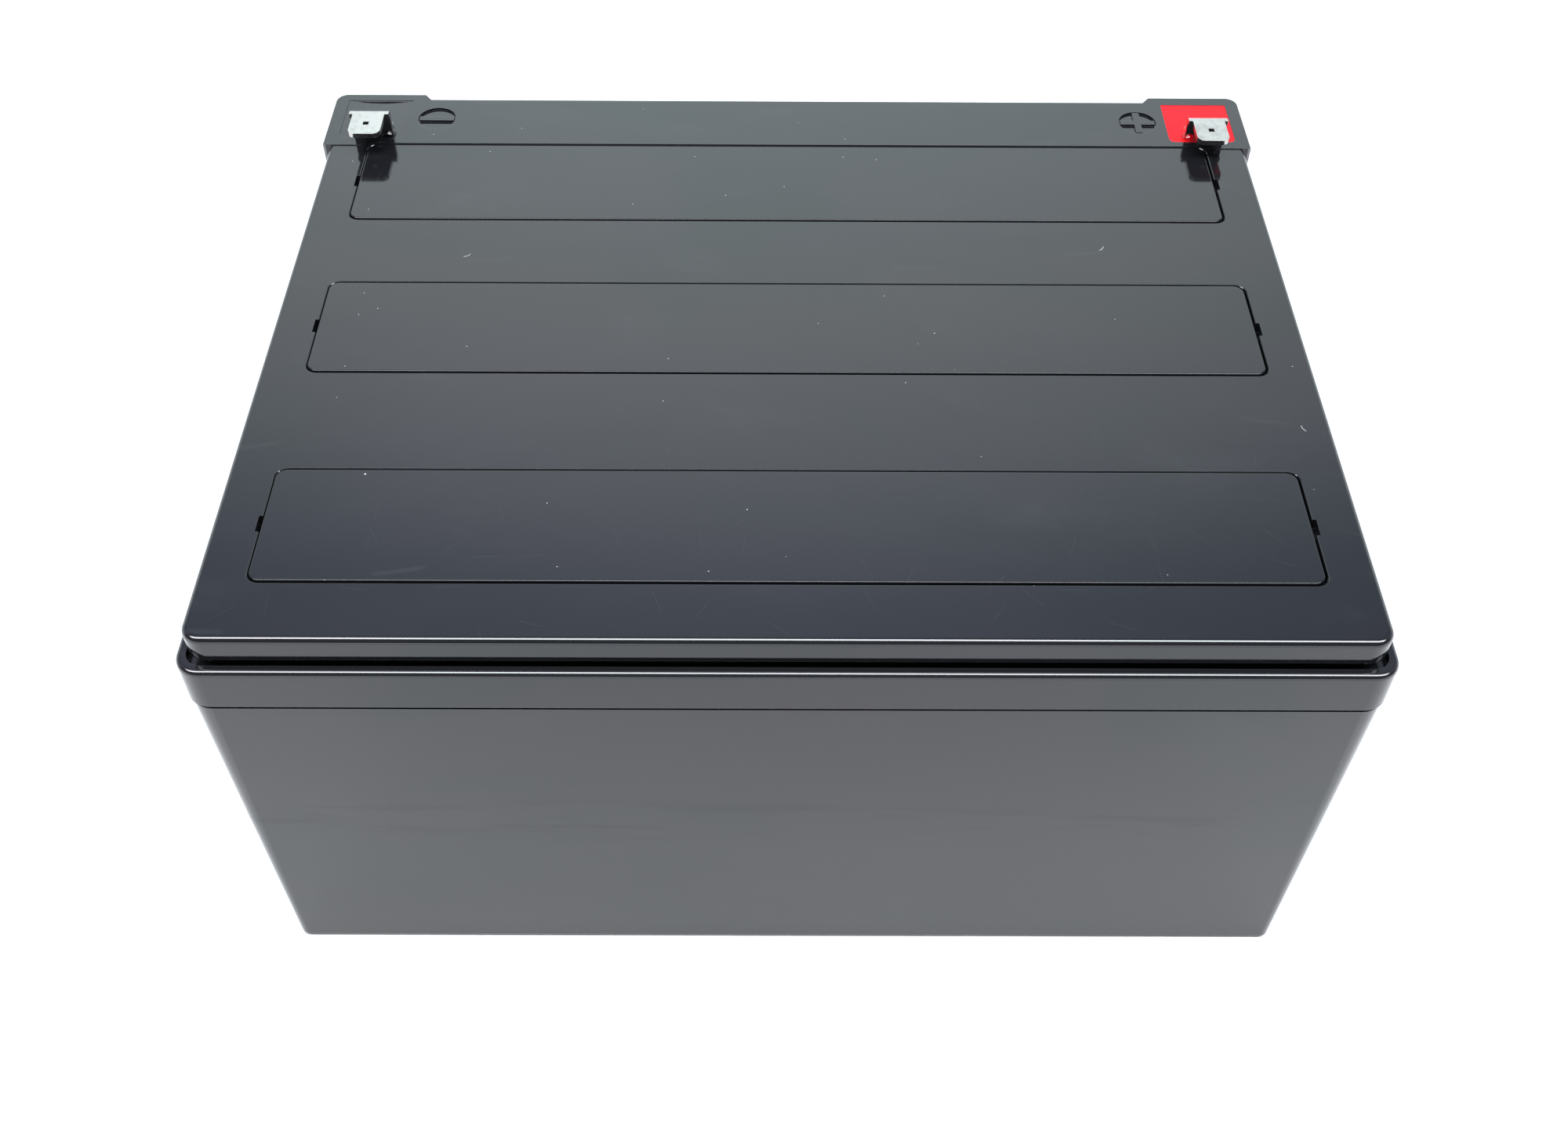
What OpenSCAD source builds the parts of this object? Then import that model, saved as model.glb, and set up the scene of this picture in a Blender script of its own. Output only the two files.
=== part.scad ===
// Sealed 12 V lead-acid battery with a drafted ABS container, a potted lid, three lift-off vent
// covers, six rubber valve caps and two bent spade tabs. Six cells stand two across and three
// deep. The origin is the middle of the footprint, +Z is up and the terminals are at the back (+Y).

/* [Case] */
// Width over the container's rim
case_w = 151; // [140:1:170]
// Depth over the container's rim
case_d = 120.4; // [117:0.2:140]
// Height from the floor to the top of the lid
lid_top = 70.9; // [66:0.1:90]
// Vertical corner radius of the rim
corner_r = 3.4; // [3.4:0.1:4]
// Height of the rim band
rim_h = 6.6; // [5:0.1:9]
// How far the rim stands proud of the wall below it
rim_step = 0.3; // [0.2:0.1:0.5]
// Height of the groove between the rim and the wall
groove_h = 0.7; // [0.5:0.1:3]
// How far each wall leans in between the rim and the bottom
draft = 1.8; // [0.8:0.1:2]
// Thickness of the floor
floor_t = 2.5; // [2:0.1:4]
// Thickness of the walls between the cells
partition_t = 2; // [1.6:0.1:2.6]

/* [Lid] */
// How far the lid's sides stand inside the rim's
lid_step = 1.6; // [1.4:0.1:2]
// Height of the lid's outer skirt
skirt_h = 3.7; // [3.2:0.1:4.2]
// Thickness of the lid's plate
plate_t = 2.8; // [2.6:0.1:3.4]
// Rise of the shelf along the terminals
shelf_rise = 0.15; // [0.1:0.05:0.6]
// Diameter of each polarity mark
mark_d = 6.1; // [4:0.1:8]

/* [Vent covers] */
// Distance from each end of a vent cover to the outside of the rim
cover_end = 8.15; // [7.6:0.05:12]
// Width of a vent cover
cover_w = 19.6; // [19:0.1:20]
// Thickness of a vent cover
cover_t = 1.6; // [1.2:0.1:1.9]
// Gap all round a vent cover
seam = 0.25; // [0.15:0.05:0.35]
// How far a vent cover sits towards the back and the left of its gap
cover_shift = 0.12; // [0:0.02:0.12]
// Radius of a vent cover's top edge
cover_edge = 0.2; // [0.1:0.05:0.4]
// Length of the pry notch at each end of a cover
notch_l = 2.8; // [2:0.1:5]

/* [Valves] */
// Outer diameter of the neck under each valve cap
neck_d = 10; // [8:0.1:10.6]
// Bore of the neck
neck_bore = 6; // [4:0.1:7]
// Outer diameter of a rubber valve cap
cap_d = 13; // [12.4:0.1:14]
// How far a valve cap lifts to let gas out
cap_lift = 0.4; // [0.2:0.1:0.5]

/* [Terminals] */
// Width of the spade blade
blade_w = 5.1; // [4.6:0.1:5.8]
// Width of the tab where it is bent
root_w = 6.3; // [6:0.1:7]
// Thickness of the tab
tab_t = 0.8; // [0.6:0.05:1]
// Height of the negative blade's top above the lid
negative_rise = 4.5; // [3.6:0.1:6]
// Height of the positive blade's top above the lid
positive_rise = 3.9; // [3.6:0.1:6]
// Length of the blade forward of the bend
blade_l = 6.1; // [5:0.1:8]
// Side of the square resin well
well = 10.7; // [10:0.1:11]

/* [Cells] */
// Number of positive plates in a cell
positive_count = 5; // [4:1:6]
// Thickness of a positive plate
positive_t = 2.6; // [2:0.1:3]
// Thickness of a negative plate
negative_t = 1.9; // [1.4:0.1:2]
// Height of the plates
plate_h = 42; // [38:1:42]

/* [Hidden] */
$fn = 48;
eps = 0.01;
black = [0.07, 0.075, 0.085];
lead = [0.45, 0.46, 0.48];
tin = [0.82, 0.82, 0.8];

// levels
rim_top = lid_top - skirt_h - 0.8;
rim_bottom = rim_top - rim_h;
wall_top = rim_bottom - groove_h;
plate_bottom = lid_top - plate_t;
lip_top = plate_bottom - 0.6;
tray_floor = lid_top - cover_t - 0.1;
shelf_top = lid_top + shelf_rise;

// outline of the lid, the container's lip and the cells
lid_w = case_w - 2 * lid_step;
lid_d = case_d - 2 * lid_step;
lid_r = corner_r - 0.7;
edge_r = 0.8;
lip_inset = 3;
lip_w = case_w - 2 * lip_inset;
lip_d = case_d - 2 * lip_inset;
lip_t = 1.5;
skirt_in = lip_inset - 0.3;
cells_w = lip_w - 2 * lip_t;
cells_d = lip_d - 2 * lip_t;
cell_w = (cells_w - partition_t) / 2;
cell_d = (cells_d - 2 * partition_t) / 3;
cell_pitch_x = cell_w + partition_t;
cell_pitch_y = cell_d + partition_t;

// vent covers and the valves below them
cover_l = case_w - 2 * cover_end;
cover_r = 1.5;
cover_y = [cell_pitch_y - 2.5, 0, -cell_pitch_y - 1.4];
mouth_edge = 0.12;
valve_x = cell_pitch_x / 2;
valve_well_r = 8.2;
valve_floor = lid_top - 8;
cap_roof = 1.3;
rib_gap = 0.3;
rib_h = 0.2;
neck_top = lid_top - cover_t - rib_h - rib_gap - cap_lift - cap_roof;

// terminals
well_x = case_w / 2 - 8.05;
well_y = case_d / 2 - 8.15;
well_floor = plate_bottom + 0.8;
resin_top = shelf_top - 0.05;
root_y = well_y - well / 2 + 1.3;
tab_shift = 0.3;
negative_shift = 0.35;
post_d = 5;
post_x = well_x - 0.95;
post_y = root_y + 2.6;
foot_l = 5.2;
seal_t = 1;
collar_d = post_d + 2 * seal_t + 1;
ear_side = case_w / 2 - 0.35;
ear_back = case_d / 2 - 0.4;
ear_front = cover_y[0] + cover_w / 2 + seam - 0.4;
ear_inner = case_w / 2 - 16.2;
ear_r = 2;
ear_edge = 0.5;
mark_x = case_w / 2 - 17.95;
mark_y = case_d / 2 - 8;
mark_bar = 1.1;
mark_depth = 0.35;

// cells
negative_count = positive_count + 1;
stack = cell_d - 0.6;
mat_count = 2 * positive_count;
mat_t = (stack - positive_count * positive_t - negative_count * negative_t) / mat_count;
plate_w = cell_w - 4;
plate_z = floor_t + 1.5;
lug_w = 8;
lug_h = 4;
lug_x = plate_w / 2 - lug_w / 2 - 0.5;
strap_z = plate_z + plate_h + lug_h;
strap_h = 4;
strap_w = lug_w + 1;

// Each cell in the order of the current: side, row, and whether its negative side is outermost
function side(n) = n <= 3 ? -1 : 1;
function row(n) = n <= 3 ? 2 - n : n - 5;
function negative_out(n) = n % 2 == 1;
function cell_at(n) = [side(n) * cell_pitch_x / 2, row(n) * cell_pitch_y];
function lug_at(n, negative) =
    cell_at(n).x + side(n) * lug_x * (negative == negative_out(n) ? 1 : -1);

// The negative well and mark sit a little further back than the positive ones
function well_at(s) = [s * well_x, well_y + (s < 0 ? negative_shift : 0)];
function mark_at(s) = [s * mark_x, mark_y + (s < 0 ? negative_shift : 0)];

// ---------- shared shapes ----------

// Rounded rectangle, centred
module rounded_rect(w, d, r) {
    square([w - 2 * r, d], center = true);
    square([w, d - 2 * r], center = true);
    for (x = [-1, 1], y = [-1, 1])
        translate([x * (w / 2 - r), y * (d / 2 - r)]) circle(r);
}

module slab(w, d, r, z0, z1) {
    translate([0, 0, z0]) linear_extrude(z1 - z0) rounded_rect(w, d, r);
}

// A block whose edge follows the child: x runs outward from the corner's axis and y is the height
module edged_block(w, d, r, z0, z1) {
    x = w / 2 - r;
    y = d / 2 - r;
    rotate([90, 0, 90]) translate([0, 0, -x]) linear_extrude(2 * x) both_sides(y, z0, z1) children();
    rotate([90, 0, 0]) translate([0, 0, -y]) linear_extrude(2 * y) both_sides(x, z0, z1) children();
    for (k = [[x, y, 0], [-x, y, 90], [-x, -y, 180], [x, -y, 270]])
        translate([k.x, k.y, 0]) rotate([0, 0, k.z]) rotate_extrude(angle = 90) children();
}

module both_sides(half, z0, z1) {
    translate([-half, z0]) square([2 * half, z1 - z0]);
    for (m = [0, 1]) mirror([m, 0]) translate([half, 0]) children();
}

// Edge profile with a rounded top corner
module round_top(r, z0, z1, edge) {
    translate([0, z0]) square([r, z1 - z0 - edge]);
    translate([0, z0]) square([r - edge, z1 - z0]);
    translate([r - edge, z1 - edge]) circle(edge);
}

// ---------- container ----------

module wall_profile() {
    foot = 0.8;
    top_r = corner_r - rim_step;
    low_r = top_r - draft;
    polygon([[0, 0], [low_r - foot, 0], [low_r - foot, foot], [low_r, foot],
        [top_r, wall_top], [0, wall_top]]);
    intersection() {
        translate([low_r - foot, foot]) circle(foot);
        square([corner_r, corner_r]);
    }
}

module container() {
    wall_w = case_w - 2 * rim_step;
    wall_d = case_d - 2 * rim_step;
    groove_in = 2 * rim_step + 1.2;
    ledge = 2.6;
    color(black) difference() {
        union() {
            edged_block(wall_w, wall_d, corner_r - rim_step, 0, wall_top) wall_profile();
            slab(case_w - groove_in, case_d - groove_in, 2, wall_top - 1, rim_bottom + 1);
            difference() {
                edged_block(case_w, case_d, corner_r, rim_bottom, rim_top)
                    round_top(corner_r, rim_bottom, rim_top, 0.7);
                slab(case_w - ledge, case_d - ledge, 2.2, rim_top - 1.2, lid_top);
            }
            slab(lip_w, lip_d, 1.5, rim_top - 2, lip_top);
        }
        for (n = [1 : 6])
            translate([cell_at(n).x - cell_w / 2, cell_at(n).y - cell_d / 2, floor_t])
                cube([cell_w, cell_d, lid_top]);
        for (n = [1 : 5]) connector_bar(n);
    }
    color(black) for (n = [1 : 6], s = [-1, 1])
        translate([cell_at(n).x + s * 18 - 1, cell_at(n).y - cell_d / 2, floor_t - eps])
            cube([2, cell_d, plate_z - floor_t + eps]);
}

// ---------- lid ----------

module ear_outline() {
    cut = 1.3;
    polygon([[ear_inner, ear_back - cut - 0.4], [ear_inner + cut, ear_back],
        [ear_side - ear_r, ear_back], [ear_side - ear_r, ear_back - ear_r],
        [ear_side, ear_back - ear_r], [ear_side, ear_front + 0.6], [ear_side - 0.6, ear_front],
        [ear_inner, ear_front]]);
    translate([ear_side - ear_r, ear_back - ear_r]) circle(ear_r);
}

module ear(s) {
    inner = case_w / 2 - skirt_in;
    mirror([s < 0 ? 1 : 0, 0, 0]) {
        intersection() {
            translate([0, 0, plate_bottom]) linear_extrude(shelf_top - plate_bottom) ear_outline();
            edged_block(2 * ear_side, 2 * ear_back, ear_r, 0, shelf_top)
                round_top(ear_r, 0, shelf_top, ear_edge);
        }
        intersection() {
            translate([0, 0, rim_top + 0.3]) linear_extrude(plate_bottom - rim_top) ear_outline();
            difference() {
                slab(case_w, case_d, corner_r, 0, lid_top);
                slab(2 * inner, case_d - 2 * skirt_in, 1.8, 0, lid_top);
            }
        }
    }
}

// Strip behind the rear vent cover, level with the ears
module shelf() {
    intersection() {
        translate([-case_w / 2, ear_front, lid_top - 1]) cube([case_w, case_d, 2]);
        edged_block(lid_w, lid_d, lid_r, lid_top - 2, shelf_top)
            round_top(lid_r, lid_top - 2, shelf_top, edge_r);
    }
}

module valve_cup_outside(x, y) {
    translate([x, y, valve_floor - 1.5]) cylinder(h = plate_bottom - valve_floor + 2, r = valve_well_r + 1.4);
}

module valve_cup_inside(x, y) {
    difference() {
        translate([x, y, valve_floor]) cylinder(h = 12, r = valve_well_r);
        translate([x, y, valve_floor - 1]) cylinder(h = neck_top - valve_floor + 1, d = neck_d);
    }
    translate([x, y, valve_floor - 3]) cylinder(h = 14, d = neck_bore);
}

module tray(y) {
    r = cover_r + seam;
    top = lid_top + 4;
    translate([0, y, 0]) edged_block(cover_l + 2 * seam, cover_w + 2 * seam, r, tray_floor, top)
        polygon([[0, tray_floor], [r, tray_floor], [r, lid_top - mouth_edge],
            [r + mouth_edge, lid_top], [r + mouth_edge, top], [0, top]]);
    for (s = [-1, 1])
        translate([s * (cover_l / 2 + seam + 0.1) - 0.4, y - notch_l / 2, tray_floor])
            cube([0.8, notch_l, 4]);
}

// Shallow round recess that leaves the sign standing level with the shelf
module polarity_mark(s) {
    reach = mark_d / 2 - 0.25;
    translate([mark_at(s).x, mark_at(s).y, shelf_top - mark_depth]) difference() {
        cylinder(h = 2, d = mark_d);
        translate([-reach, -mark_bar / 2, -1]) cube([2 * reach, mark_bar, 4]);
        if (s > 0) translate([-mark_bar / 2, -reach, -1]) cube([mark_bar, 2 * reach, 4]);
    }
}

// Square well with rounded front corners
module well_outline(s) {
    translate(well_at(s)) {
        rounded_rect(well, well, 1);
        translate([-well / 2, 0]) square([well, well / 2]);
    }
}

module lid() {
    color(black) difference() {
        union() {
            difference() {
                edged_block(lid_w, lid_d, lid_r, lid_top - skirt_h, lid_top)
                    round_top(lid_r, lid_top - skirt_h, lid_top, edge_r);
                slab(case_w - 2 * skirt_in, case_d - 2 * skirt_in, 1.8, 0, plate_bottom);
            }
            difference() {
                slab(cells_w - 0.6, cells_d - 0.6, 1, lip_top - 0.8, plate_bottom + eps);
                slab(cells_w - 2.6, cells_d - 2.6, 1, 0, plate_bottom + 2 * eps);
                partition_band(3);
            }
            shelf();
            for (s = [-1, 1]) ear(s);
            for (x = [-valve_x, valve_x], y = cover_y) valve_cup_outside(x, y);
            for (s = [-1, 1])
                translate([s * post_x, post_y, plate_bottom - 4]) cylinder(h = 4.5, d = collar_d);
        }
        for (y = cover_y) tray(y);
        for (x = [-valve_x, valve_x], y = cover_y) valve_cup_inside(x, y);
        for (s = [-1, 1]) {
            polarity_mark(s);
            translate([0, 0, well_floor]) linear_extrude(9) well_outline(s);
            translate([s * post_x, post_y, 0]) cylinder(h = lid_top, d = post_d);
            translate([s * post_x, post_y, well_floor - seal_t])
                cylinder(h = lid_top, d = post_d + 2 * seal_t);
        }
    }
}

// Strips over the partitions, as wide as w, one long and two across
module partition_band(w) {
    z0 = lip_top - 2;
    translate([-w / 2, -case_d / 2, z0]) cube([w, case_d, 4]);
    for (s = [-1, 1])
        translate([-case_w / 2, s * cell_pitch_y / 2 - w / 2, z0]) cube([case_w, w, 4]);
}

module lid_sealant() {
    color([0.1, 0.1, 0.11]) difference() {
        slab(lip_w, lip_d, 1.5, lip_top, plate_bottom);
        for (n = [1 : 6])
            translate([cell_at(n).x - cell_w / 2, cell_at(n).y - cell_d / 2, 0])
                cube([cell_w, cell_d, lid_top]);
        for (x = [-valve_x, valve_x], y = cover_y)
            translate([x, y, 0]) cylinder(h = lid_top, r = valve_well_r + 1.4);
    }
}

module vent_cover(y) {
    rib_r = cap_d / 2 - 1;
    bottom = lid_top - cover_t;
    color(black) translate([-cover_shift, y + cover_shift, 0]) {
        edged_block(cover_l, cover_w, cover_r, bottom, lid_top)
            round_top(cover_r, bottom, lid_top, cover_edge);
        for (x = [-valve_x, valve_x]) translate([x, 0, bottom - rib_h]) difference() {
            cylinder(h = rib_h + eps, r = rib_r);
            translate([0, 0, -1]) cylinder(h = 9, r = rib_r - 1.2);
        }
    }
}

module valve_cap(n) {
    bore = neck_d + 0.1;
    color([0.13, 0.13, 0.13]) translate([side(n) * valve_x, cover_y[1 - row(n)], valve_floor + 0.2])
        difference() {
            union() {
                cylinder(h = neck_top - valve_floor - 0.2 + cap_roof, d = cap_d - 0.8);
                cylinder(h = 1.2, d = cap_d);
            }
            translate([0, 0, -1]) cylinder(h = neck_top - valve_floor + 0.8, d = bore);
        }
}

// ---------- terminals ----------

module tab(s, rise) {
    top = lid_top + rise;
    front = root_y - tab_t / 2;
    tip = front - blade_l;
    step = 0.6;
    dimple = 0.9;
    color(tin) translate([s * well_x + tab_shift, 0, 0]) difference() {
        union() {
            translate([-root_w / 2, front, well_floor]) cube([root_w, foot_l, tab_t]);
            translate([-root_w / 2, front, well_floor]) cube([root_w, tab_t, top - tab_t - well_floor]);
            translate([-root_w / 2, front, top - tab_t]) bend_quarter(root_w, tab_t);
            translate([-root_w / 2, front - step, top - tab_t]) cube([root_w, step + eps, tab_t]);
            translate([0, 0, top - tab_t]) linear_extrude(tab_t) blade_outline(front, tip);
        }
        translate([-dimple / 2, (front + tip - dimple) / 2 - 0.1, top - 2]) cube([dimple, dimple, 3]);
    }
}

module blade_outline(front, tip) {
    r = 1.2;
    translate([-blade_w / 2, tip + r]) square([blade_w, front - tip - r]);
    translate([-blade_w / 2 + r, tip]) square([blade_w - 2 * r, 2 * r]);
    for (x = [-1, 1]) translate([x * (blade_w / 2 - r), tip + r]) circle(r);
}

// Quarter round along X, from the back face up to the top face
module bend_quarter(w, t) {
    rotate([90, 0, 90]) linear_extrude(w) intersection() {
        circle(t);
        square([t, t]);
    }
}

// Resin poured into the well, with the drops that stand round the foot of the tab
module resin(s) {
    x = s * well_x + tab_shift;
    difference() {
        union() {
            translate([0, 0, well_floor]) linear_extrude(resin_top - well_floor) well_outline(s);
            intersection() {
                translate([0, 0, well_floor]) linear_extrude(4) well_outline(s);
                union() {
                    translate([x - s * 2.3, root_y, resin_top]) drop(1.3, 1);
                    translate([x - s * 0.6, root_y + 2, resin_top]) drop(2.4, 0.9);
                    translate([x + s * 1.2, root_y, resin_top]) drop(1.2, 0.5);
                }
            }
        }
        tab(s, s < 0 ? negative_rise : positive_rise);
        if (s < 0) shrink_gap();
    }
}

// Where the negative resin has drawn away from the back wall, sloping up to the wall's edge
module shrink_gap() {
    r = 15;
    depth = 0.9;
    back = well_at(-1).y + well / 2;
    intersection() {
        translate([-well_x + 0.2, back + r - depth, well_floor]) cylinder(h = 9, r = r);
        translate([-well_x, back, resin_top]) rotate([45, 0, 0]) translate([-9, -9, 0]) cube(18);
    }
}

// Cap of a sphere as wide as r at its foot and rising by h
module drop(r, h) {
    ball_r = (r * r + h * h) / (2 * h);
    intersection() {
        translate([0, 0, h - ball_r]) sphere(ball_r);
        translate([0, 0, -eps]) cylinder(h = 2 * h, r = 2 * r);
    }
}

module negative_tab() { tab(-1, negative_rise); }
module positive_tab() { tab(1, positive_rise); }
module negative_resin() { color(black) resin(-1); }
module positive_resin() { color([0.85, 0.05, 0.08]) resin(1); }

// ---------- cells ----------

// Copies a sheet t thick through the stack, where k is its place counted in pairs of plates
module spread(n, count, start) {
    pitch = positive_t + negative_t + 2 * mat_t;
    for (k = [0 : count - 1])
        translate([cell_at(n).x, cell_at(n).y - stack / 2 + start + k * pitch, plate_z]) children();
}

module plate_group(n, negative) {
    t = negative ? negative_t : positive_t;
    start = negative ? 0 : negative_t + mat_t;
    spread(n, negative ? negative_count : positive_count, start) {
        translate([-plate_w / 2, 0, 0]) cube([plate_w, t, plate_h]);
        translate([lug_at(n, negative) - cell_at(n).x - lug_w / 2, 0, plate_h - eps])
            cube([lug_w, t, lug_h + eps]);
    }
}

module positive_plates(n) { color([0.28, 0.18, 0.14]) plate_group(n, false); }
module negative_plates(n) { color([0.4, 0.41, 0.43]) plate_group(n, true); }

module separators(n) {
    color([0.95, 0.95, 0.93]) for (start = [negative_t, negative_t + mat_t + positive_t])
        spread(n, positive_count, start)
            translate([-plate_w / 2 - 0.8, 0, 0]) cube([plate_w + 1.6, mat_t, plate_h + 1.5]);
}

// Bar that joins the positive lugs of cell n to the negative lugs of the next one
module connector_bar(n) {
    a = cell_at(n);
    b = cell_at(n + 1);
    reach = stack / 2;
    if (n == 3) {
        for (k = [3, 4]) translate([lug_at(k, k == 4) - strap_w / 2, a.y - reach, strap_z])
            cube([strap_w, stack, strap_h]);
        translate([lug_at(3, false), a.y - 5, strap_z])
            cube([lug_at(4, true) - lug_at(3, false), 10, strap_h]);
    } else {
        low = min(a.y, b.y) - reach;
        translate([lug_at(n, false) - strap_w / 2, low, strap_z])
            cube([strap_w, abs(a.y - b.y) + stack, strap_h]);
    }
}

module intercell_connector(n) { color(lead) connector_bar(n); }

module end_strap(s) {
    n = s < 0 ? 1 : 6;
    x = lug_at(n, s < 0);
    color(lead) {
        translate([x - strap_w / 2, cell_at(n).y - stack / 2, strap_z])
            cube([strap_w, stack, strap_h]);
        translate([s * post_x, post_y, strap_z]) cylinder(h = well_floor - strap_z, d = post_d);
    }
}

module negative_end_strap() { end_strap(-1); }
module positive_end_strap() { end_strap(1); }

// Rubber ring round the lead post, under the resin
module post_seal(s) {
    color([0.13, 0.13, 0.13]) translate([s * post_x, post_y, well_floor - seal_t]) difference() {
        cylinder(h = seal_t, d = post_d + 2 * seal_t);
        translate([0, 0, -1]) cylinder(h = 4, d = post_d);
    }
}

module negative_post_seal() { post_seal(-1); }
module positive_post_seal() { post_seal(1); }

container();
lid();
lid_sealant();
vent_cover(cover_y[0]);  // vent_cover_rear
vent_cover(cover_y[1]);  // vent_cover_middle
vent_cover(cover_y[2]);  // vent_cover_front
negative_tab();
positive_tab();
negative_resin();
positive_resin();
negative_end_strap();
positive_end_strap();
negative_post_seal();
positive_post_seal();
for (n = [1 : 6]) {
    valve_cap(n);
    positive_plates(n);
    negative_plates(n);
    separators(n);
}
for (n = [1 : 5])
    intercell_connector(n);
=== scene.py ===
"""Looks for the sealed motorcycle battery: materials, studio light and camera."""

import math

import bpy
from mathutils import Matrix, Vector


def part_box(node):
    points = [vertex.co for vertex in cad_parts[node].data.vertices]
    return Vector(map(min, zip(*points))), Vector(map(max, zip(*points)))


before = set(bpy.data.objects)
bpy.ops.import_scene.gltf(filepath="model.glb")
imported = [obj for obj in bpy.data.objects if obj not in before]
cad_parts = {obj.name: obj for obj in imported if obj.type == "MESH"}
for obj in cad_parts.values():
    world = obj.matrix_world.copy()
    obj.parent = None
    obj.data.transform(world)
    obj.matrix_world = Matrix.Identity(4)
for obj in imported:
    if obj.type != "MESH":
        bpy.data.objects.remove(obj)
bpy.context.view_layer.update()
MM = 0.001


# ---------- node helpers ----------

class Graph:
    """Short calls for adding and joining nodes in the node tree of a material or a world."""

    def __init__(self, owner):
        owner.use_nodes = True
        self.nodes = owner.node_tree.nodes
        self.links = owner.node_tree.links

    def join(self, source, target):
        """Feeds a socket with another socket's output, or with a fixed value."""
        if isinstance(source, bpy.types.NodeSocket):
            self.links.new(source, target)
        else:
            target.default_value = source

    def calc(self, operation, a, b=0.0):
        node = self.nodes.new("ShaderNodeMath")
        node.operation = operation
        self.join(a, node.inputs[0])
        self.join(b, node.inputs[1])
        return node.outputs[0]

    def total(self, first, *rest):
        """Adds weighted masks, each (mask, weight), to a first value."""
        for mask, weight in rest:
            first = self.calc("ADD", first, self.calc("MULTIPLY", mask, weight))
        return first

    def vector(self, operation, a, b=(0, 0, 0)):
        node = self.nodes.new("ShaderNodeVectorMath")
        node.operation = operation
        self.join(a, node.inputs[0])
        self.join(b, node.inputs[1])
        return node.outputs["Value" if operation == "DOT_PRODUCT" else "Vector"]

    def split(self, vector):
        node = self.nodes.new("ShaderNodeSeparateXYZ")
        self.join(vector, node.inputs[0])
        return node.outputs

    def combine(self, x, y, z=0.0):
        node = self.nodes.new("ShaderNodeCombineXYZ")
        for socket, value in zip(node.inputs, (x, y, z)):
            self.join(value, socket)
        return node.outputs[0]

    def ramp(self, value, low, high, bottom=0.0, top=1.0):
        """Maps low..high smoothly to bottom..top."""
        node = self.nodes.new("ShaderNodeMapRange")
        node.interpolation_type = "SMOOTHSTEP"
        self.join(value, node.inputs["Value"])
        for socket, number in zip(("From Min", "From Max", "To Min", "To Max"), (low, high, bottom, top)):
            node.inputs[socket].default_value = number
        return node.outputs["Result"]

    def blend(self, mask, a, b):
        """Mixes color a into color b as the mask goes from 0 to 1."""
        node = self.nodes.new("ShaderNodeMix")
        node.data_type = "RGBA"
        self.join(mask, node.inputs[0])
        self.join(a if isinstance(a, bpy.types.NodeSocket) else (*a, 1.0), node.inputs[6])
        self.join(b if isinstance(b, bpy.types.NodeSocket) else (*b, 1.0), node.inputs[7])
        return node.outputs[2]

    def scaled(self, color, factor):
        """Brightens or dims a color."""
        node = self.nodes.new("ShaderNodeVectorMath")
        node.operation = "SCALE"
        self.join(color, node.inputs[0])
        self.join(factor, node.inputs["Scale"])
        return node.outputs[0]

    def color_ramp(self, value, stops):
        """Looks a color up between stops, each (position, color)."""
        node = self.nodes.new("ShaderNodeValToRGB")
        self.join(value, node.inputs[0])
        elements = node.color_ramp.elements
        while len(elements) < len(stops):
            elements.new(0.5)
        for element, (position, color) in zip(elements, stops):
            element.position = position
            element.color = (*color, 1.0)
        return node.outputs[0]


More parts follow.
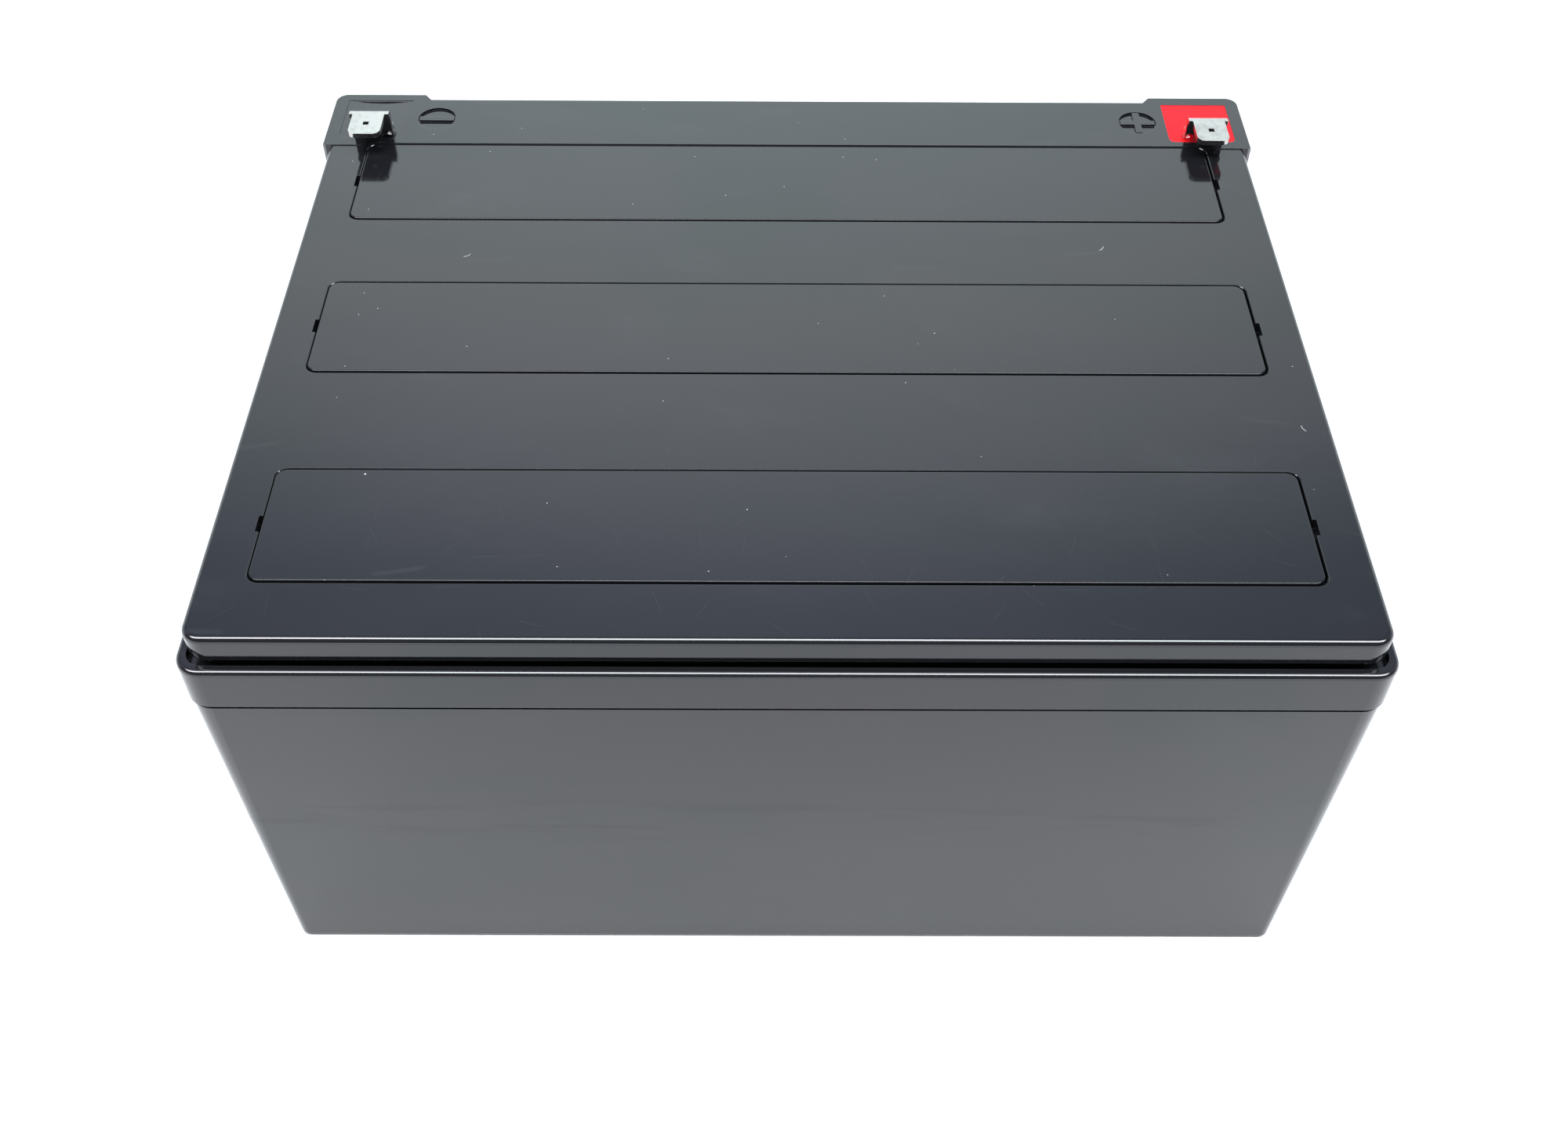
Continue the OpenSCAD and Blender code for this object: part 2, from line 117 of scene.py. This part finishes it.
class Surface(Graph):
    """A Principled material, with the masks that the finishes are mixed from."""

    def __init__(self, name, **sockets):
        self.material = bpy.data.materials.new(name)
        super().__init__(self.material)
        self.shader = self.nodes["Principled BSDF"]
        self.coords = self.nodes.new("ShaderNodeTexCoord").outputs["Object"]
        self.geometry = self.nodes.new("ShaderNodeNewGeometry").outputs
        for socket, value in sockets.items():
            self.shader.inputs[socket.replace("_", " ")].default_value = value

    def noise(self, scale, detail=3.0, roughness=0.5, stretch=(1, 1, 1), warp=0.0):
        """Cloudy noise, with scale in lumps per metre along each axis times stretch."""
        node = self.nodes.new("ShaderNodeTexNoise")
        node.inputs["Scale"].default_value = scale
        node.inputs["Detail"].default_value = detail
        node.inputs["Roughness"].default_value = roughness
        node.inputs["Distortion"].default_value = warp
        self.join(self.vector("MULTIPLY", self.coords, stretch), node.inputs["Vector"])
        return node.outputs["Fac"]

    def upward(self):
        """1 where the surface faces up, 0 where it is upright or faces down."""
        return self.ramp(self.split(self.geometry["Normal"])["Z"], 0.3, 0.9)

    def rounded(self):
        """1 on the curve between top and walls, where handling polishes the plastic.

        Only the outermost twentieth of the width and depth counts, which leaves the cover gaps out."""
        lean = self.split(self.geometry["Normal"])["Z"]
        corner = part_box("container")[1]
        x, y, _ = self.split(self.vector("ABSOLUTE", self.coords))
        out = self.calc("MAXIMUM", self.calc("DIVIDE", x, corner.x), self.calc("DIVIDE", y, corner.y))
        curve = self.calc("MULTIPLY", self.ramp(lean, 0.2, 0.5), self.ramp(lean, 0.99, 0.93))
        return self.calc("MULTIPLY", curve, self.ramp(out, 0.93, 0.95))

    def edges(self, radius):
        """1 on sharp edges, from how far a bevelled normal leans away from the true one."""
        bevel = self.nodes.new("ShaderNodeBevel")
        bevel.samples = 4
        bevel.inputs["Radius"].default_value = radius
        leaning = self.vector("DOT_PRODUCT", bevel.outputs[0], self.geometry["Normal"])
        return self.ramp(leaning, 0.98, 0.80)

    def cells(self, scale, vector, flat=False):
        """Random cells: the distance to each one's point, the point, and three random numbers."""
        node = self.nodes.new("ShaderNodeTexVoronoi")
        node.voronoi_dimensions = "2D" if flat else "3D"
        node.inputs["Scale"].default_value = scale
        self.join(vector, node.inputs["Vector"])
        return node.outputs["Distance"], node.outputs["Position"], self.split(node.outputs["Color"])

    def specks(self, scale, radius, share):
        """Small scattered dots of that radius in metres, on that share of the cells."""
        distance, _, chance = self.cells(scale, self.coords)
        near = self.ramp(distance, radius * scale, radius * scale * 0.6)
        return self.calc("MULTIPLY", near, self.calc("GREATER_THAN", chance["X"], 1.0 - share))

    def unrolled(self, up):
        """Flat coordinates on each face: x and y on top, the way round and the height on the walls."""
        x, y, z = self.split(self.coords)
        node = self.nodes.new("ShaderNodeMix")
        node.data_type = "VECTOR"
        self.join(self.calc("GREATER_THAN", up, 0.5), node.inputs[0])
        self.join(self.combine(self.calc("ADD", x, y), z), node.inputs[4])
        self.join(self.combine(x, y), node.inputs[5])
        return node.outputs[1]

    def strokes(self, flat, scale, length, width, share, curl=0.0, turn=math.pi):
        """Short thin marks, one in some of the cells, each turned at random and curled."""
        _, point, chance = self.cells(scale, flat, flat=True)
        x, y, _ = self.split(self.vector("SUBTRACT", flat, point))
        angle = self.calc("MULTIPLY", self.calc("SUBTRACT", chance["Y"], 0.5), turn)
        cos, sin = self.calc("COSINE", angle), self.calc("SINE", angle)
        along = self.calc("ADD", self.calc("MULTIPLY", x, cos), self.calc("MULTIPLY", y, sin))
        across = self.calc("SUBTRACT", self.calc("MULTIPLY", y, cos), self.calc("MULTIPLY", x, sin))
        bend = self.calc("MULTIPLY", self.calc("MULTIPLY", along, along), curl)
        across = self.calc("ABSOLUTE", self.calc("SUBTRACT", across, bend))
        mask = self.ramp(across, width, width * 0.4)
        mask = self.calc("MULTIPLY", mask, self.ramp(self.calc("ABSOLUTE", along), length, length * 0.6))
        return self.calc("MULTIPLY", mask, self.calc("GREATER_THAN", chance["X"], 1.0 - share))

    def bump(self, *layers, bevel=0.0):
        """Adds height layers, each (height, distance in metres), over softened edges."""
        normal = None
        if bevel:
            node = self.nodes.new("ShaderNodeBevel")
            node.samples = 4
            node.inputs["Radius"].default_value = bevel
            normal = node.outputs[0]
        for height, distance in layers:
            node = self.nodes.new("ShaderNodeBump")
            node.inputs["Distance"].default_value = distance
            self.join(height, node.inputs["Height"])
            if normal:
                self.join(normal, node.inputs["Normal"])
            normal = node.outputs[0]
        self.join(normal, self.shader.inputs["Normal"])

    def set(self, **sockets):
        for socket, value in sockets.items():
            self.join(value, self.shader.inputs[socket.replace("_", " ")])
        return self.material


# ---------- materials ----------

def moulded_black(name, tint, gloss, dusty, rubbed=None):
    """Glossy black ABS with faint flow marks, wiped haze, hairlines, dust and lint.

    gloss is the roughness of the clean plastic, and dusty scales how much the marks on it show,
    apart from the worn edges, whose lighter colour is partly wear and partly a painted highlight.
    rubbed is the height, in metres, of a band where the walls have been scuffed in handling;
    below it the gloss also fades towards the foot."""
    s = Surface(name, IOR=1.5)
    up = s.upward()
    flat = s.unrolled(up)
    flow = s.noise(9, 5, 0.6, (1, 4, 5), 0.4)
    film = s.ramp(s.noise(17, 4, 0.55, (1, 1.6, 1.6), 0.6), 0.35, 0.65)
    smear = s.ramp(s.noise(30, 5, 0.6, (1, 2.2, 1)), 0.56, 0.78)
    wipe = s.ramp(s.noise(40, 4, 0.65, (0.4, 14, 9)), 0.55, 0.8)
    hair = s.strokes(flat, 190, 2.2 * MM, 0.030 * MM, 0.30)
    scuff = s.strokes(flat, 45, 4 * MM, 0.5 * MM, 0.25, 12, 0.5)
    dust = s.calc("MULTIPLY", s.specks(420, 0.10 * MM, 0.24), up)
    grit = s.calc("MULTIPLY", s.specks(110, 0.17 * MM, 0.16), up)
    lint = s.calc("MULTIPLY", s.strokes(flat, 42, 0.7 * MM, 0.05 * MM, 0.08, 420), up)
    # worn edges are lightened in colour below: partly wear, partly a painted highlight
    worn = s.edges(0.3 * MM)
    color = s.blend(flow, [c * 0.7 for c in tint], [c * 1.3 for c in tint])
    # each mark, how strongly it colors the plastic, and its tone
    for mask, weight, tone in ((smear, 0.014 * dusty, (0.40, 0.41, 0.42)),
                               (scuff, 0.012 * dusty, (0.40, 0.40, 0.40)),
                               (hair, 0.022 * dusty, (0.50, 0.50, 0.50)),
                               (worn, 0.030, (0.30, 0.30, 0.31)),
                               (dust, 0.50 * dusty, (0.70, 0.70, 0.68)),
                               (grit, 0.60 * dusty, (0.80, 0.80, 0.77)),
                               (lint, 0.70 * dusty, (0.85, 0.85, 0.84))):
        color = s.blend(s.calc("MULTIPLY", mask, weight), color, tone)
    rough = s.total(gloss, (flow, 0.02), (smear, 0.05), (wipe, 0.03), (hair, 0.08), (scuff, 0.06),
                    (dust, 0.35), (grit, 0.5), (lint, 0.5))
    level = s.total(s.ramp(film, 0.0, 1.0, 0.49, 0.51), (s.rounded(), 0.5))
    if rubbed:
        rise = s.split(s.coords)["Z"]
        away = s.calc("ABSOLUTE", s.calc("SUBTRACT", rise, rubbed))
        streak = s.ramp(s.noise(60, 5, 0.65, (0.7, 0.7, 7)), 0.50, 0.68)
        streak = s.calc("MULTIPLY", streak, s.ramp(away, 7 * MM, 2 * MM))
        # the fade over the lowest 30 mm of the wall is painted shade at the foot, where the table shades
        # it
        level = s.total(level, (streak, -0.07), (s.ramp(rise, 30 * MM, 2 * MM), -0.08))
        rough = s.total(rough, (streak, 0.10))
    s.bump((s.noise(45, 2, 0.5), 0.025 * MM), (s.noise(900, 3, 0.6), 0.0012 * MM),
           (hair, -0.002 * MM), (grit, 0.05 * MM), (lint, 0.04 * MM), bevel=0.07 * MM)
    return s.set(Base_Color=color, Roughness=rough, Specular_IOR_Level=level,
                 Specular_Tint=s.blend(film, (0.94, 1.0, 0.99), (1.0, 0.97, 1.0)))


def poured_resin(name, tint, light, deep, dull, shine):
    """Potting resin with slow ripples, tiny bubbles and dust, and deeper, glossier drops on it.

    tint and light cloud into each other, deep is the drops' color, and dull and shine are the
    roughness and the specular level of the flat resin."""
    s = Surface(name, IOR=1.5)
    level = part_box("lid")[1].z
    drops = s.ramp(s.split(s.coords)["Z"], level - 0.03 * MM, level + 0.25 * MM)
    cloud = s.ramp(s.noise(260, 4, 0.6), 0.35, 0.75)
    bubble = s.specks(1500, 0.13 * MM, 0.10)
    dust = s.specks(700, 0.08 * MM, 0.06)
    color = s.blend(drops, s.blend(cloud, tint, light), deep)
    color = s.blend(s.calc("MULTIPLY", dust, 0.3), color, (0.8, 0.75, 0.72))
    s.bump((s.noise(220, 2, 0.5), 0.05 * MM), (bubble, -0.02 * MM), bevel=0.15 * MM)
    rough = s.total(s.ramp(drops, 0.0, 1.0, dull, 0.06), (cloud, 0.05))
    return s.set(Base_Color=color, Roughness=rough,
                 Specular_IOR_Level=s.ramp(drops, 0.0, 1.0, shine, 0.6))


def tinned_metal():
    """Tin-plated brass: bright, with fine brushing, dull patches and worn edges."""
    s = Surface("tinned_metal", Metallic=1.0)
    brushed = s.noise(500, 3, 0.6, (9, 1, 1))
    patch = s.ramp(s.noise(420, 4, 0.65), 0.45, 0.7)
    pits = s.specks(2600, 0.08 * MM, 0.2)
    worn = s.edges(0.1 * MM)
    color = s.blend(patch, (0.45, 0.44, 0.425), (0.37, 0.36, 0.345))
    color = s.blend(s.calc("MULTIPLY", worn, 0.4), color, (0.55, 0.50, 0.42))
    color = s.blend(s.calc("MULTIPLY", pits, 0.5), color, (0.35, 0.33, 0.31))
    s.bump((brushed, 0.003 * MM), (pits, -0.01 * MM), bevel=0.05 * MM)
    rough = s.total(0.13, (patch, 0.08), (brushed, 0.06), (pits, 0.2))
    return s.set(Base_Color=color, Roughness=rough)


def moulded_rubber():
    """Dull black rubber with a talc bloom."""
    s = Surface("moulded_rubber", IOR=1.5)
    bloom = s.ramp(s.noise(500, 5, 0.7), 0.4, 0.75)
    grain = s.noise(2600, 4, 0.6)
    color = s.blend(s.calc("MULTIPLY", bloom, 0.35), (0.018, 0.018, 0.018), (0.12, 0.12, 0.115))
    s.bump((grain, 0.02 * MM), bevel=0.15 * MM)
    return s.set(Base_Color=color, Roughness=s.ramp(grain, 0.2, 0.8, 0.55, 0.85))


def dull_epoxy():
    """The black bead that joins the lid to the container."""
    s = Surface("dull_epoxy", IOR=1.5)
    lump = s.noise(350, 4, 0.6)
    color = s.blend(lump, (0.008, 0.008, 0.009), (0.03, 0.03, 0.032))
    s.bump((lump, 0.1 * MM))
    return s.set(Base_Color=color, Roughness=s.ramp(lump, 0.2, 0.8, 0.35, 0.7))


def pasted_plate(name, paste, rib):
    """A cast grid of upright and level ribs, filled with paste."""
    s = Surface(name, Metallic=0.15)
    place = s.split(s.coords)
    lines = []
    for axis, pitch in (("X", 6.0), ("Z", 4.0)):
        phase = s.calc("FRACT", s.calc("DIVIDE", place[axis], pitch * MM))
        lines.append(s.calc("LESS_THAN", phase, 0.16))
    grid = s.calc("MAXIMUM", *lines)
    grain = s.noise(1800, 5, 0.7)
    color = s.blend(grid, s.blend(grain, [c * 0.6 for c in paste], paste), rib)
    s.bump((grain, 0.05 * MM), (grid, 0.1 * MM))
    return s.set(Base_Color=color, Roughness=s.ramp(grain, 0.2, 0.8, 0.6, 0.9))


def glass_mat():
    """Felted white glass fibre."""
    s = Surface("glass_mat", IOR=1.45)
    fibre = s.noise(900, 6, 0.7, (1, 1, 3.5), 1.5)
    color = s.blend(fibre, (0.62, 0.62, 0.6), (0.9, 0.9, 0.88))
    s.bump((fibre, 0.08 * MM))
    return s.set(Base_Color=color, Roughness=s.ramp(fibre, 0.2, 0.8, 0.85, 1.0))


def cast_lead():
    """Dull grey lead with casting marks."""
    s = Surface("cast_lead", Metallic=0.85)
    cloud = s.noise(380, 5, 0.65)
    color = s.blend(cloud, (0.22, 0.23, 0.25), (0.42, 0.43, 0.45))
    s.bump((cloud, 0.08 * MM), bevel=0.3 * MM)
    return s.set(Base_Color=color, Roughness=s.ramp(cloud, 0.2, 0.8, 0.45, 0.7))


def dress(nodes, material):
    """Gives CAD nodes a material in every slot they have."""
    for name in nodes:
        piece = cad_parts[name]
        if not piece.material_slots:
            piece.data.materials.append(None)
        for slot in piece.material_slots:
            slot.material = material


def numbered(stem, count=6):
    return [f"{stem}_{k}" for k in range(1, count + 1)]


dress(["container"], moulded_black("case_wall", (0.009, 0.0095, 0.0110), 0.09, 0.7, rubbed=33 * MM))
dress(["lid"], moulded_black("lid_top", (0.007, 0.0075, 0.0090), 0.06, 1.0))
dress(["vent_cover_rear", "vent_cover_middle", "vent_cover_front"],
      moulded_black("cover_top", (0.007, 0.0075, 0.0090), 0.07, 1.1))
dress(["negative_resin"], poured_resin("resin_black", (0.005, 0.005, 0.007), (0.010, 0.010, 0.013),
                                       (0.003, 0.003, 0.004), 0.08, 0.5))
dress(["positive_resin"], poured_resin("resin_red", (0.66, 0.004, 0.010), (0.76, 0.009, 0.018),
                                       (0.42, 0.001, 0.006), 0.50, 0.16))
dress(["negative_tab", "positive_tab"], tinned_metal())
dress(numbered("valve_cap") + ["negative_post_seal", "positive_post_seal"], moulded_rubber())
dress(["lid_sealant"], dull_epoxy())
dress(numbered("positive_plates"), pasted_plate("positive_paste", (0.16, 0.07, 0.045), (0.2, 0.14, 0.12)))
dress(numbered("negative_plates"), pasted_plate("negative_paste", (0.27, 0.28, 0.3), (0.4, 0.41, 0.43)))
dress(numbered("separators"), glass_mat())
dress(numbered("intercell_connector", 5) + ["negative_end_strap", "positive_end_strap"], cast_lead())


# ---------- studio ----------

# Lengths are in metres and the power in watts
TABLE_SIZE = 6.0
TABLE_STEPS = 8
ROOM_STRENGTH = 2.4
# Room colors by height, from 0 at the horizon to 1 overhead: the wall behind, and the room in front
WALL_STOPS = (
    (0.30, (0.79, 0.90, 0.92)), (0.55, (0.80, 0.92, 0.95)), (0.64, (0.86, 0.92, 0.94)),
    (0.70, (0.74, 0.80, 0.87)), (0.76, (0.38, 0.43, 0.55)), (0.84, (0.25, 0.28, 0.36)),
    (1.00, (0.24, 0.26, 0.30)),
)
FRONT_STOPS = (
    (0.00, (0.05, 0.05, 0.06)), (0.88, (0.07, 0.07, 0.08)), (1.00, (0.24, 0.26, 0.30)),
)
# Away from the middle the wall's bands curve down and its light fades, down to the dimmest share
WALL_CURVE = 0.6
WALL_MIDDLE = -0.04
WALL_FADE = 2.4
WALL_DIMMEST = 0.6
# The view direction's y where the room in front ends and where the wall has taken over
WALL_START, WALL_END = -0.15, 0.25
LAMP_HEIGHT = 1.2
LAMP_FORWARD = 0.30
LAMP_SIZE = (2.4, 0.5)
LAMP_POWER = 44
LAMP_TINT = (0.95, 0.97, 1.0)
CAMERA_PLACE = Vector((-1.39, -188.38, 228.13)) * MM
CAMERA_ELEVATION, CAMERA_TURN, CAMERA_ROLL = (math.radians(a) for a in (48.15, 0.34, 0.45))
CAMERA_LENS_MM = 38.775


def make_floor():
    """A large flat pale table under the battery."""
    row = TABLE_STEPS + 1
    corners = [(TABLE_SIZE * (i / TABLE_STEPS - 0.5), TABLE_SIZE * (j / TABLE_STEPS - 0.5), 0.0)
               for j in range(row) for i in range(row)]
    faces = [(j * row + i, j * row + i + 1, (j + 1) * row + i + 1, (j + 1) * row + i)
             for j in range(TABLE_STEPS) for i in range(TABLE_STEPS)]
    mesh = bpy.data.meshes.new("table")
    mesh.from_pydata(corners, [], faces)
    table = bpy.data.objects.new("table", mesh)
    bpy.context.scene.collection.objects.link(table)
    s = Surface("table_white", Specular_IOR_Level=0.2)
    grain = s.noise(40, 4, 0.6)
    color = s.blend(grain, (0.86, 0.86, 0.86), (0.89, 0.89, 0.89))
    mesh.materials.append(s.set(Base_Color=color, Roughness=s.ramp(grain, 0.2, 0.8, 0.55, 0.7)))


def make_lamp():
    """A broad soft light over the front of the battery, facing straight down."""
    light = bpy.data.lights.new("overhead", "AREA")
    light.shape = "RECTANGLE"
    light.size, light.size_y = LAMP_SIZE
    light.energy = LAMP_POWER
    light.color = LAMP_TINT
    lamp = bpy.data.objects.new("overhead", light)
    bpy.context.scene.collection.objects.link(lamp)
    lamp.location = (0.0, -LAMP_FORWARD, LAMP_HEIGHT)


def make_world():
    """A pale wall behind the battery, dimmer at its sides and top, and a dark room in front."""
    world = bpy.data.worlds.new("studio")
    bpy.context.scene.world = world
    g = Graph(world)
    x, y, z = g.split(g.nodes.new("ShaderNodeTexCoord").outputs["Generated"])
    height = g.calc("ADD", z, g.calc("MULTIPLY", g.calc("MULTIPLY", x, x), WALL_CURVE))
    right = g.calc("SUBTRACT", x, WALL_MIDDLE)
    fade = g.calc("SUBTRACT", 1.0, g.calc("MULTIPLY", g.calc("MULTIPLY", right, right), WALL_FADE))
    wall = g.scaled(g.color_ramp(height, WALL_STOPS), g.calc("MAXIMUM", fade, WALL_DIMMEST))
    front = g.color_ramp(z, FRONT_STOPS)
    background = g.nodes["Background"].inputs
    g.join(g.blend(g.ramp(y, WALL_START, WALL_END), front, wall), background["Color"])
    background["Strength"].default_value = ROOM_STRENGTH


def make_camera():
    """Stands in front of the battery and looks down on it."""
    level = math.cos(CAMERA_ELEVATION)
    forward = Vector((math.sin(CAMERA_TURN) * level, math.cos(CAMERA_TURN) * level,
                      -math.sin(CAMERA_ELEVATION)))
    right = Vector((math.cos(CAMERA_TURN), -math.sin(CAMERA_TURN), 0.0))
    up = right.cross(forward)
    rolled_right = right * math.cos(CAMERA_ROLL) + up * math.sin(CAMERA_ROLL)
    rolled_up = up * math.cos(CAMERA_ROLL) - right * math.sin(CAMERA_ROLL)
    data = bpy.data.cameras.new("camera")
    data.sensor_width = 36.0
    data.lens = CAMERA_LENS_MM
    data.clip_start = 0.01
    camera = bpy.data.objects.new("camera", data)
    bpy.context.scene.collection.objects.link(camera)
    turned = Matrix((rolled_right, rolled_up, -forward)).transposed().to_4x4()
    camera.matrix_world = Matrix.Translation(CAMERA_PLACE) @ turned
    bpy.context.scene.camera = camera


make_floor()
make_world()
make_lamp()
make_camera()

settings = bpy.context.scene.view_settings
settings.view_transform = "Standard"
settings.look = "None"
